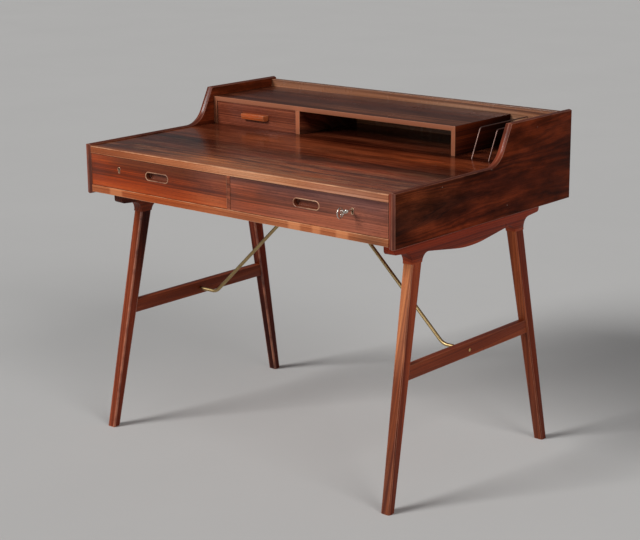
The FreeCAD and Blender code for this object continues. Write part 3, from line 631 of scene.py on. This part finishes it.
class DESK_OT_finishes(bpy.types.Operator):
    """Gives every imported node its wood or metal."""
    bl_idname = "desk.finishes"
    bl_label = "Woods and metals"

    def execute(self, context):
        figure_group()
        wear_and_highlight_group()
        lacquer_group()
        self.case_woods()
        self.gallery_woods()
        self.base_woods()
        self.lining_woods()
        for name, display, rough, tarnish, *nodes in (
                ("Brass", (186, 160, 112), 0.34, 0.5, "stay_tab_screws", *both("stay", "lock_bolt")),
                ("Lock metal", (84, 72, 60), 0.5, 0.6, *both("lock_case")),
                # Painted highlight: the end screws' brass is paler than the stays' brass, and also smoother
                ("Bright brass", (226, 192, 128), 0.24, 0.3, "stay_end_screws"),
                ("Dull brass", (196, 164, 136), 0.36, 0.4, *both("escutcheon")),
                ("Rack wire", (132, 104, 96), 0.45, 0.5, "letter_wire_inner", "letter_wire_outer"),
                ("Key metal", (214, 208, 198), 0.18, 0.3, "key"),
                ("Screw steel", (150, 148, 144), 0.35, 0.4, "runner_screws", "handle_screws", "rail_screws")):
            dress(metal(name, display, rough, tarnish), *nodes)
        return {"FINISHED"}

    def case_woods(self):
        dress(wood("Desktop veneer", "top", (0, -150, 500), 3.1, wander=0.03, stretch=0.1,
                   bands=0.45, lines=0.25, shade=0.95, blotch=0.24, gloss=0.15, sheen=0.15, specks=0.5,
                   worn=None, after=worn_front), "desktop")
        for side, way, seed in (("right", 1, 7.4), ("left", -1, 1.9)):
            dress(wood(side.title() + " side veneer", "side", (way * 300, 0, 690), seed, "Y", rings=360,
                       wander=0.028, bands=0.34, lines=0.2, shade=0.95, streaks=0.3, blotch=0.36,
                       gloss=0.34, sheen=0.015, specks=0.8, wear=0.7, worn=(150, 92, 68), bright=0.6,
                       after=side_edges), side + "_side_panel")
        for side, seed in (("left", 5.7), ("right", 9.3)):
            dress(wood(side.title() + " front veneer", side, (0, -200, 350), seed, wander=0.012,
                       stretch=0.12, bands=0.4, lines=0.4, shade=0.75, streaks=0.2, after=painted_shade_band),
                  side + "_drawer_front")
        dress(wood("Partition wood", "right", (0, -200, 350), 5.9, "Y"), "centre_partition")
        dress(wood("Back veneer", "back", (0, 600, 700), 6.5, wander=0.012, stretch=0.06, lines=0.5,
                   shade=0.6, streaks=0.5, gloss=0.26, sheen=0.5), "back_panel")
        lipping = {"stretch": 0.08, "bands": 0.6, "lines": 0.6, "shade": 0.9, "wear": 0.8,
                   "worn": (206, 150, 112)}
        dress(wood("Upper lipping", "lipping", (0, -200, 600), 8.8, gloss=0.26, **lipping),
              "desktop_lipping", "bottom_board")
        dress(wood("Lower lipping", "lipping", (0, -200, 500), 3.3, after=sapwood_blocks, **lipping),
              "bottom_lipping")
        # The pulls' rims take the paler edge colour in full, partly a painted highlight
        dress(wood("Pull wood", "small", (0, -100, 600), 2.9, gloss=0.26, wear=1, worn=(186, 142, 110)),
              *both("pull_cup"))

    def gallery_woods(self):
        dress(wood("Gallery veneer", "gallery", (0, 100, 550), 2.2, stretch=0.08, shade=0.5, streaks=0.35,
                   blotch=0.15, gloss=0.24, sheen=0.1, after=gallery_edges),
              "gallery_shelf", "gallery_left_wall", "gallery_divider")
        dress(wood("Gallery wall veneer", "side", (300, 0, 600), 2.6, "Y", sheen=0.03, after=gallery_edges),
              "gallery_right_wall")
        dress(wood("Small front veneer", "small", (0, 200, 500), 4.4, wander=0.012, stretch=0.08,
                   bands=0.45, lines=0.5, shade=0.6, streaks=0.5), "small_drawer_front")
        dress(wood("Handle wood", "lipping", (0, -100, 600), 3.9, gloss=0.24, wear=0.6,
                   worn=(190, 132, 96)), "small_drawer_handle")

    def base_woods(self):
        splay = 9.6
        # Painted light and shade: each leg face gets the tint of how lit it is, and the last tint is a
        # painted highlight
        for place, lean, seed, faces in (
                ("front", splay, 1.3, painted_leg_light((1, 1, 1), (0.8, 0.6, 0.55), (1.05, 1.4, 1.5),
                                                (1.18, 1, 0.85), (1.85, 2.5, 2.8))),
                ("rear", -splay, 4.2, painted_leg_light((0.55, 0.4, 0.36), (1.2, 0.7, 0.5), (0.8, 0.92, 1.05),
                                                (0.72, 0.52, 0.38), (2, 2.3, 2.1)))):
            dress(wood(place.title() + " leg wood", "base", (300, 100, 0), seed, "Z", wander=0.012,
                       stretch=0.05, lean=lean, bands=0.4, lines=0.3, streaks=0.2, gloss=0.24, sheen=0.1,
                       wear=0.6, worn=(186, 114, 82), bright=1, after=faces), *both(place + "_leg"))
        dress(wood("Level base wood", "base", (300, 0, 200), 6.1, "Y", stretch=0.08, streaks=0.35,
                   sheen=0.12, worn=(150, 86, 58)), *both("rail", "stretcher"))

    def lining_woods(self):
        raw = {"streaks": 0, "pores": 0.2, "gloss": 0.55, "wear": 0.2, "worn": None}
        dress(wood("Lining wood", "lining", (0, 0, 300), 5.2, "Y", rings=420, wander=0.01, **raw),
              "drawer_stops", "case_dowels",
              *both("drawer_inner_side", "drawer_outer_side"),
              *("runner_" + side + place for side in SIDES for place in ("_side", "_centre")),
              *("small_drawer_" + side + "_side" for side in SIDES))
        dress(wood("Lining board", "lining", (0, 0, 300), 7.7, wander=0.03, **raw),
              "small_drawer_back", "small_drawer_bottom", *both("drawer_back", "drawer_bottom"))


# Modelling steps

def alone(piece):
    """Selects this piece alone and makes it the active one."""
    bpy.ops.object.select_all(action="DESELECT")
    piece.select_set(True)
    bpy.context.view_layer.objects.active = piece


def named(piece, name):
    piece.name = name
    piece.data.name = name
    return piece


def started(name, primitive, **settings):
    """A primitive with nothing else selected, with its place and size put into its mesh."""
    bpy.ops.object.select_all(action="DESELECT")
    primitive(**settings)
    piece = named(bpy.context.active_object, name)
    bpy.ops.object.transform_apply(location=True, rotation=True, scale=True)
    return piece


def block(name, place, sizes):
    return started(name, bpy.ops.mesh.primitive_cube_add, size=1, location=place, scale=sizes)


def wire_ring(name, place, radius, wire, around, about):
    """A ring of round wire that stands on edge, with so many corners around it and about the wire."""
    return started(name, bpy.ops.mesh.primitive_torus_add, location=place, rotation=(0, QUARTER, 0),
                   major_segments=around, minor_segments=about, major_radius=radius, minor_radius=wire)


def shape_edit(on, all_of_it=False):
    """Goes into or out of edit mode, there with all of the piece selected if that is asked for."""
    bpy.ops.object.mode_set(mode="EDIT" if on else "OBJECT")
    if all_of_it:
        bpy.ops.mesh.select_all(action="SELECT")


def pick(piece, kind, wanted):
    """In edit mode, selects the piece's faces, edges or points that are wanted, and counts them."""
    bpy.ops.mesh.select_mode(type=kind)
    bpy.ops.mesh.select_all(action="DESELECT")
    shape = bmesh.from_edit_mesh(piece.data)
    parts = {"FACE": shape.faces, "EDGE": shape.edges, "VERT": shape.verts}[kind]
    found = [part for part in parts if wanted(part)]
    for part in found:
        part.select_set(True)
    shape.select_flush_mode()
    bmesh.update_edit_mesh(piece.data)
    return len(found)


def pushed(x, y, z):
    """Extrudes what is selected that far."""
    bpy.ops.mesh.extrude_region_move(TRANSFORM_OT_translate={"value": (x, y, z)})


def rounded(width, segments, **settings):
    """Bevels the selected edges."""
    bpy.ops.mesh.bevel(offset=width, segments=segments, affect="EDGES", **settings)


def scaled(middle, *shares):
    """Scales what is selected about that point."""
    bpy.ops.transform.resize(value=shares, center_override=middle)


def sharp(edge, degrees=25):
    return len(edge.link_faces) == 2 and edge.calc_face_angle(0) > math.radians(degrees)


def level(edge, axis, height, reach=0.05 * MM):
    """Whether both ends of the edge lie at that height along the axis."""
    return all(abs(point.co[axis] - height) < reach for point in edge.verts)


def straight(edge, axis, reach=0.05 * MM):
    """Whether the edge's two ends lie equally far along the axis."""
    return level(edge, axis, edge.verts[0].co[axis], reach)


def one_skin():
    """In edit mode with all selected, merges points that coincide."""
    bpy.ops.mesh.remove_doubles(threshold=0.01 * MM)


def closed(piece):
    """Merges doubles and turns every face outwards."""
    shape_edit(True, all_of_it=True)
    one_skin()
    bpy.ops.mesh.normals_make_consistent(inside=False)
    shape_edit(False)


def finished(piece, node_name, smooth=30):
    """Puts the piece in the place of its node: its smoothing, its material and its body."""
    alone(piece)
    bpy.ops.object.shade_smooth_by_angle(angle=math.radians(smooth))
    if not piece.data.materials:
        piece.data.materials.append(NODES[node_name].data.materials[0])
    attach(piece, NODES[node_name]["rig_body"])
    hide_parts(node_name)


def ease_edges(piece, width, wanted, segments=3):
    """In edit mode, rounds the wanted edges and notes their new faces, for the rubbing and the painted
    highlight.
    """
    if not pick(piece, "EDGE", wanted):
        return
    rounded(width, segments, clamp_overlap=True)
    shape = bmesh.from_edit_mesh(piece.data)
    wear = shape.faces.layers.float.get("edge") or shape.faces.layers.float.new("edge")
    for face in shape.faces:
        narrow = 2 * face.calc_area() < 1.2 * width * sum(edge.calc_length() for edge in face.edges)
        if face.select and narrow:
            face[wear] = 1
    bmesh.update_edit_mesh(piece.data)


def note_facing(piece):
    """In edit mode, notes the faces that look to the front and those on a panel's rim."""
    shape = bmesh.from_edit_mesh(piece.data)
    front = shape.faces.layers.float.new("front")
    rim = shape.faces.layers.float.new("rim")
    for face in shape.faces:
        face[front] = float(face.normal.y < -0.65)
        face[rim] = float(abs(face.normal.x) < 0.83)
    bmesh.update_edit_mesh(piece.data)


def eased(node_name, *steps):
    """The node's board with the wanted edges rounded; each step is a width and a test of an edge."""
    piece = bpy.data.objects.new(node_name + "_eased", NODES[node_name].data.copy())
    bpy.context.scene.collection.objects.link(piece)
    alone(piece)
    bpy.ops.mesh.customdata_custom_splitnormals_clear()
    shape_edit(True, all_of_it=True)
    one_skin()
    bpy.ops.mesh.dissolve_limited(angle_limit=math.radians(0.4))
    for width, wanted in steps:
        ease_edges(piece, width, lambda edge: sharp(edge) and wanted(edge))
    note_facing(piece)
    shape_edit(False)
    finished(piece, node_name)


class DESK_OT_boards(bpy.types.Operator):
    """Rounds the edges of the boards that show."""
    bl_idname = "desk.boards"
    bl_label = "Eased boards"

    def execute(self, context):
        ease = context.scene.desk_sizes.board_edge
        tiny = 2 * MM
        for name in both("side_panel"):
            eased(name, (1.5 * ease, lambda edge: edge.calc_length() > tiny))
        for name in both("drawer_front"):
            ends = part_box(name)
            eased(name, (ease, lambda edge: level(edge, Y, ends[0].y)
                         and any(level(edge, axis, end[axis]) for axis in (X, Z) for end in ends)))
        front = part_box("small_drawer_front")[0].y
        eased("small_drawer_front", (ease, lambda edge: level(edge, Y, front)))
        low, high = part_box("desktop_lipping")
        top_ease = context.scene.desk_sizes.top_edge
        eased("desktop_lipping",
              (top_ease, lambda edge: level(edge, Y, low.y) and level(edge, Z, high.z)),
              (ease, lambda edge: level(edge, Y, low.y) and level(edge, Z, low.z)))
        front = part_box("bottom_lipping")[0].y
        eased("bottom_lipping", (1.5 * ease, lambda edge: level(edge, Y, front) and not straight(edge, X)))
        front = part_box("gallery_shelf")[0].y
        for name in ("gallery_shelf", "gallery_left_wall", "gallery_right_wall", "gallery_divider"):
            eased(name, (ease, lambda edge: level(edge, Y, front)
                         and (straight(edge, X) or straight(edge, Z))))
        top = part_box("back_panel")[1].z
        eased("back_panel", (ease, lambda edge: level(edge, Z, top)))
        return {"FINISHED"}


class DESK_OT_base(bpy.types.Operator):
    """Rounds the edges of the legs, rails and stretchers."""
    bl_idname = "desk.base"
    bl_label = "Legs, rails and stretchers"

    def execute(self, context):
        tenon = 36 * MM
        tall = 100 * MM
        ease = context.scene.desk_sizes.leg_edge
        for name in both("front_leg", "rear_leg"):
            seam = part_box(name)[1].z - tenon
            eased(name, (ease, lambda edge: max(point.co.z for point in edge.verts) < seam
                         or abs(edge.verts[0].co.z - edge.verts[1].co.z) > tall))
        ease = context.scene.desk_sizes.rail_edge
        # Tiny edges, those at the top and the level seams low on the stubs stay sharp
        tiny, top_gap, seam_tilt, seam_rise = metres((1.2, 0.5, 0.7, 2))
        for name in both("rail"):
            low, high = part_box(name)
            eased(name, (ease, lambda edge: edge.calc_length() > tiny
                         and max(point.co.z for point in edge.verts) < high.z - top_gap
                         and not (straight(edge, Z, seam_tilt)
                                  and edge.verts[0].co.z < low.z + seam_rise)))
        for name in both("stretcher"):
            eased(name, (ease, lambda edge: edge.calc_length() > tall))
        return {"FINISHED"}


class DESK_OT_pulls(bpy.types.Operator):
    """Models the two recessed drawer pulls."""
    bl_idname = "desk.pulls"
    bl_label = "Drawer pulls"

    def execute(self, context):
        sizes = context.scene.desk_sizes
        corners = 64
        rim_depth = 3 * MM
        floor_round = 2.4 * MM
        rim_round = 0.45 * sizes.pull_wall
        taper = (0.985, 1, 0.93)
        for side in SIDES:
            low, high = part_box(side + "_pull_cup")
            middle = (low + high) / 2
            deep = high.y - low.y
            radius = (high.z - low.z) / 2
            cup = started(side + "_pull", bpy.ops.mesh.primitive_cylinder_add, vertices=corners,
                          radius=radius, depth=deep, location=middle,
                          rotation=(QUARTER, math.pi / corners, 0))
            shape_edit(True)
            for way in (-1, 1):
                pick(cup, "VERT", lambda point: (point.co.x - middle.x) * way > 0)
                bpy.ops.transform.translate(value=(way * ((high.x - low.x) / 2 - radius), 0, 0))
            pick(cup, "FACE", lambda face: face.normal.y < -0.9)
            bpy.ops.mesh.inset(thickness=sizes.pull_wall, depth=0)
            pushed(0, rim_depth, 0)
            pushed(0, deep - sizes.pull_floor - rim_depth, 0)
            scaled(middle, *taper)
            floor = high.y - sizes.pull_floor
            pick(cup, "EDGE", lambda edge: sharp(edge, 40) and level(edge, Y, floor))
            rounded(floor_round, 4)
            ease_edges(cup, rim_round, lambda edge: sharp(edge, 40) and level(edge, Y, low.y), 4)
            shape_edit(False)
            closed(cup)
            finished(cup, side + "_pull_cup", 35)
        return {"FINISHED"}


class DESK_OT_handle(bpy.types.Operator):
    """Models the gallery drawer's bar handle."""
    bl_idname = "desk.handle"
    bl_label = "Gallery drawer handle"

    def execute(self, context):
        sizes = context.scene.desk_sizes
        low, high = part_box("small_drawer_handle")
        middle = (low + high) / 2
        hold = sizes.handle_hold / 2
        deep = high.y - low.y
        near = 0.1 * MM
        ease = 0.8 * MM
        bar = block("small_handle", middle, high - low)
        shape_edit(True)
        pick(bar, "EDGE", lambda edge: level(edge, Y, high.y) and level(edge, Z, low.z))
        rounded(hold, 1)
        bpy.ops.mesh.select_all(action="SELECT")
        bpy.ops.mesh.bisect(plane_co=middle, plane_no=(0, 0, 1))
        pick(bar, "VERT", lambda point: point.co.y < low.y + near and point.co.z < low.z + near)
        bpy.ops.transform.translate(value=(0, hold, 0))
        for end, way in ((low.x, -1), (high.x, 1)):
            for depth in (deep, deep - hold, hold):
                pick(bar, "VERT", lambda point: abs(point.co.x - end) < near
                     and abs(point.co.y - high.y + depth) < near)
                bpy.ops.transform.translate(value=(-way * sizes.handle_end * depth / deep, 0, 0))
        ease_edges(bar, ease, lambda edge: sharp(edge, 15) and not level(edge, Y, high.y))
        shape_edit(False)
        closed(bar)
        finished(bar, "small_drawer_handle")
        return {"FINISHED"}


def turned_rod(name, start, steps, axis, way):
    """A rod turned as on a lathe: each step is a run along the axis and the radius at its end, in mm."""
    tilt = (-way * QUARTER, 0, 0) if axis == Y else (0, way * QUARTER, 0)
    radius = steps[0][1]
    rod = started(name, bpy.ops.mesh.primitive_circle_add, vertices=32, radius=radius * MM,
                  fill_type="NGON", location=start, rotation=tilt)
    place = Vector(start)
    reach = Vector()
    shape_edit(True)
    bpy.ops.mesh.select_mode(type="FACE")
    bpy.ops.mesh.select_all(action="SELECT")
    for run, new_radius in steps[1:]:
        reach[axis] = way * run * MM
        pushed(*reach)
        place = place + reach
        grow = Vector([new_radius / radius] * 3)
        grow[axis] = 1
        scaled(place, *grow)
        radius = new_radius
    shape_edit(False)
    return rod


def joined(name, pieces):
    alone(pieces[0])
    for piece in pieces:
        piece.select_set(True)
    bpy.ops.object.join()
    return named(pieces[0], name)


# The key's bow, scrolls and bit: their sizes, and how far their middles are from the neck, the tip and
# the shank's axis. The shank starts inside the bow by the overlap.
BOW_HALF_LENGTH = 12.45 * MM
BOW_HALF_HEIGHT = 13.5 * MM
BOW_REACH = 12.5 * MM
BOW_NARROWING = 0.955
SCROLL_RADIUS = 3 * MM
SCROLL_WIRE = 1.15 * MM
SCROLL_REACH = 7.6 * MM
SCROLL_RISE = 4 * MM
SHANK_OVERLAP = 3 * MM
BIT_SIZE = metres((2.2, 4, 6.9))
BIT_REACH = 4.5 * MM
BIT_DROP = 5.4 * MM
# The key from its bow to its tip, as the runs and radii of a turned rod: neck, collar, shank and tip
KEY_STEPS = (
    (0, 1.5), (1, 2.6), (1.2, 3.3), (1.2, 3.3), (1, 2.5), (2, 2.5),
    (0.4, 3.6), (0.5, 4.2), (1.2, 4.2), (0.5, 3.7), (0.5, 3.3), (0.8, 3.3),
    (0.5, 3.7), (0.5, 4.2), (1.2, 4.2), (0.5, 3.6),
    (0.4, 2.4), (30.6, 2.4), (1, 2.4), (1.1, 1.9), (0.4, 1))
# A slotted screw's domed head and its stem
SCREW_STEPS = (
    (0, 2.2), (0.12, 3.2), (0.28, 3.9), (0.4, 4.2), (0.5, 4.2), (0.9, 2.2), (28, 2.2), (3, 0.6))


class DESK_OT_key(bpy.types.Operator):
    """Models the key with its open bow."""
    bl_idname = "desk.key"
    bl_label = "Key"

    def execute(self, context):
        low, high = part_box("key")
        x, z = (low.x + high.x) / 2, high.z - BOW_HALF_HEIGHT
        neck = low.y + 2 * BOW_REACH
        parts = [self.bow(Vector((x, neck - BOW_REACH, z)), context.scene.desk_sizes.bow_wire)]
        parts += [self.scroll((x, neck - SCROLL_REACH, z + way * SCROLL_RISE), way) for way in (-1, 1)]
        parts.append(turned_rod("key_shank", (x, neck - SHANK_OVERLAP, z), KEY_STEPS, Y, 1))
        parts.append(self.bit((x, high.y - BIT_REACH, z - BIT_DROP)))
        key = joined("drawer_key", parts)
        closed(key)
        finished(key, "key", 50)
        return {"FINISHED"}

    def bow(self, middle, wire):
        """The ring that is held, which narrows towards the shank."""
        ring = wire_ring("key_bow", middle, BOW_HALF_HEIGHT - wire, wire, 56, 12)
        shape_edit(True, all_of_it=True)
        scaled(middle, 0.95, BOW_HALF_LENGTH / BOW_HALF_HEIGHT, 1)
        for start in range(0, 12, 2):
            pick(ring, "VERT", lambda point: point.co.y > middle.y + start * MM)
            scaled(middle, 1, 1, BOW_NARROWING)
        shape_edit(False)
        return ring

    def scroll(self, place, way):
        """One of the two small rings inside the bow."""
        scroll = wire_ring("key_scroll", place, SCROLL_RADIUS, SCROLL_WIRE, 32, 10)
        shape_edit(True, all_of_it=True)
        bpy.ops.transform.rotate(value=way * 0.5, orient_axis="X", center_override=place)
        scaled(place, 1, 1.2, 1)
        shape_edit(False)
        return scroll

    def bit(self, place):
        """The key's bit, with a notch in its lower edge."""
        notch_wall, notch_depth, long, ease = metres((0.5, 0.9, 3.5, 0.2))
        bit = block("key_bit", place, BIT_SIZE)
        shape_edit(True)
        pick(bit, "FACE", lambda face: face.normal.z < -0.9)
        bpy.ops.mesh.inset(thickness=notch_wall, depth=0)
        pushed(0, 0, notch_depth)
        pick(bit, "EDGE", lambda edge: sharp(edge, 60) and edge.calc_length() > long)
        rounded(ease, 2)
        shape_edit(False)
        return bit


class DESK_OT_screws(bpy.types.Operator):
    """Models the slotted brass screws that hold the stays, and eases the keyhole plates."""
    bl_idname = "desk.screws"
    bl_label = "Brass screws and keyhole plates"

    def execute(self, context):
        sizes = context.scene.desk_sizes
        slot_depth, slot_length = metres((1.3, 12))
        low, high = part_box("stay_end_screws")
        screws = []
        for side, way in (("left", -1), ("right", 1)):
            top = (way * high.x, (low.y + high.y) / 2, (low.z + high.z) / 2)
            screw = turned_rod(side + "_end_screw", top, SCREW_STEPS, X, -way)
            closed(screw)
            slot = block("slot", top, (slot_depth, slot_length, sizes.screw_slot))
            shape_edit(True, all_of_it=True)
            bpy.ops.transform.rotate(value=0.6 + 0.5 * way, orient_axis="X", center_override=top)
            shape_edit(False)
            alone(screw)
            cut = screw.modifiers.new("Slot", "BOOLEAN")
            cut.operation = "DIFFERENCE"
            cut.object = slot
            bpy.ops.object.modifier_apply(modifier="Slot")
            bpy.data.objects.remove(slot)
            screws.append(screw)
        finished(joined("end_screws", screws), "stay_end_screws", 40)
        for name in both("escutcheon"):
            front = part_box(name)[0].y
            eased(name, (sizes.plate_edge, lambda edge: level(edge, Y, front)))
        return {"FINISHED"}


def direction(azimuth, elevation):
    """From the desk to a lamp or camera that stands that far round to the right and that high."""
    return Vector((math.sin(azimuth) * math.cos(elevation), -math.cos(azimuth) * math.cos(elevation),
                   math.sin(elevation)))


def placed(name, data):
    holder = bpy.data.objects.new(name, data)
    bpy.context.scene.collection.objects.link(holder)
    return holder


class DESK_OT_stage(bpy.types.Operator):
    """Sets the pale floor, the soft lamps and the camera."""
    bl_idname = "desk.stage"
    bl_label = "Floor, lamps and camera"

    def execute(self, context):
        sizes = context.scene.desk_stage
        context.scene.view_settings.view_transform = "Standard"
        self.floor(sizes)
        self.lamps(sizes)
        self.camera(sizes)
        return {"FINISHED"}

    def floor(self, sizes):
        bpy.ops.object.select_all(action="DESELECT")
        bpy.ops.mesh.primitive_plane_add(size=80, location=(0, 0, 0))
        floor = bpy.context.active_object
        floor.name = "floor"
        material, tree, surface = new_material("Pale floor")
        mottle = spread_out(noise(own_place(tree), 1.6, 4, 0.6), to_low=0.985, to_high=1.01)
        feed(surface, {"Base Color": shaded(tuple(sizes.floor), mottle), "Roughness": 0.8,
                             "Specular IOR Level": 0.1})
        floor.data.materials.append(material)

    def lamps(self, sizes):
        world = bpy.data.worlds.new("Soft surround")
        world.use_nodes = True
        world.node_tree.nodes["Background"].inputs["Color"].default_value = tuple(sizes.surround)
        bpy.context.scene.world = world
        for name in LAMPS:
            azimuth, elevation, strength, spread = (
                getattr(sizes, name + "_" + what)
                for what in ("azimuth", "elevation", "strength", "spread"))
            light = bpy.data.lights.new(name + "_light", "SUN")
            light.energy = strength
            light.angle = spread
            towards = direction(azimuth, elevation)
            holder = placed(name + "_light", light)
            holder.location = 4 * towards
            holder.rotation_euler = towards.to_track_quat("Z", "Y").to_euler()

    def camera(self, sizes):
        camera = placed("camera", bpy.data.cameras.new("camera"))
        camera.data.lens = sizes.lens
        camera.data.sensor_width = 36
        camera.data.clip_end = 100
        back = direction(sizes.azimuth, sizes.elevation)
        right = Vector((math.cos(sizes.azimuth), math.sin(sizes.azimuth), 0))
        up = back.cross(right)
        turned = right * math.cos(sizes.roll) + up * math.sin(sizes.roll)
        raised = up * math.cos(sizes.roll) - right * math.sin(sizes.roll)
        place = Vector((sizes.camera_x, sizes.camera_y, sizes.camera_z))
        axes = Matrix((turned, raised, back)).transposed().to_4x4()
        camera.matrix_world = Matrix.Translation(place) @ axes
        bpy.context.scene.camera = camera


class DESK_PT_panel(bpy.types.Panel):
    """Lists the desk's steps and settings in the sidebar."""
    bl_idname = "DESK_PT_panel"
    bl_label = "Writing desk"
    bl_space_type = "VIEW_3D"
    bl_region_type = "UI"
    bl_category = "Desk"

    def draw(self, context):
        for step in STEPS:
            self.layout.operator(step.bl_idname)
        for name, settings in SETTINGS.items():
            box = self.layout.box()
            for key in settings.__annotations__:
                box.prop(getattr(context.scene, name), key)


STEPS = (DESK_OT_finishes, DESK_OT_boards, DESK_OT_base, DESK_OT_pulls, DESK_OT_handle, DESK_OT_key,
         DESK_OT_screws, DESK_OT_stage)
SETTINGS = {"desk_woods": DESK_PG_woods, "desk_sizes": DESK_PG_sizes, "desk_stage": DESK_PG_stage}
CLASSES = (*SETTINGS.values(), *STEPS, DESK_PT_panel)


def register():
    for made in CLASSES:
        bpy.utils.register_class(made)
    for name, group in SETTINGS.items():
        setattr(bpy.types.Scene, name, bpy.props.PointerProperty(type=group))


def unregister():
    for name in SETTINGS:
        delattr(bpy.types.Scene, name)
    for made in reversed(CLASSES):
        bpy.utils.unregister_class(made)


def main():
    register()
    bpy.ops.desk.finishes()
    bpy.ops.desk.boards()
    bpy.ops.desk.base()
    bpy.ops.desk.pulls()
    bpy.ops.desk.handle()
    bpy.ops.desk.key()
    bpy.ops.desk.screws()
    bpy.ops.desk.stage()


if __name__ == "__main__":
    main()
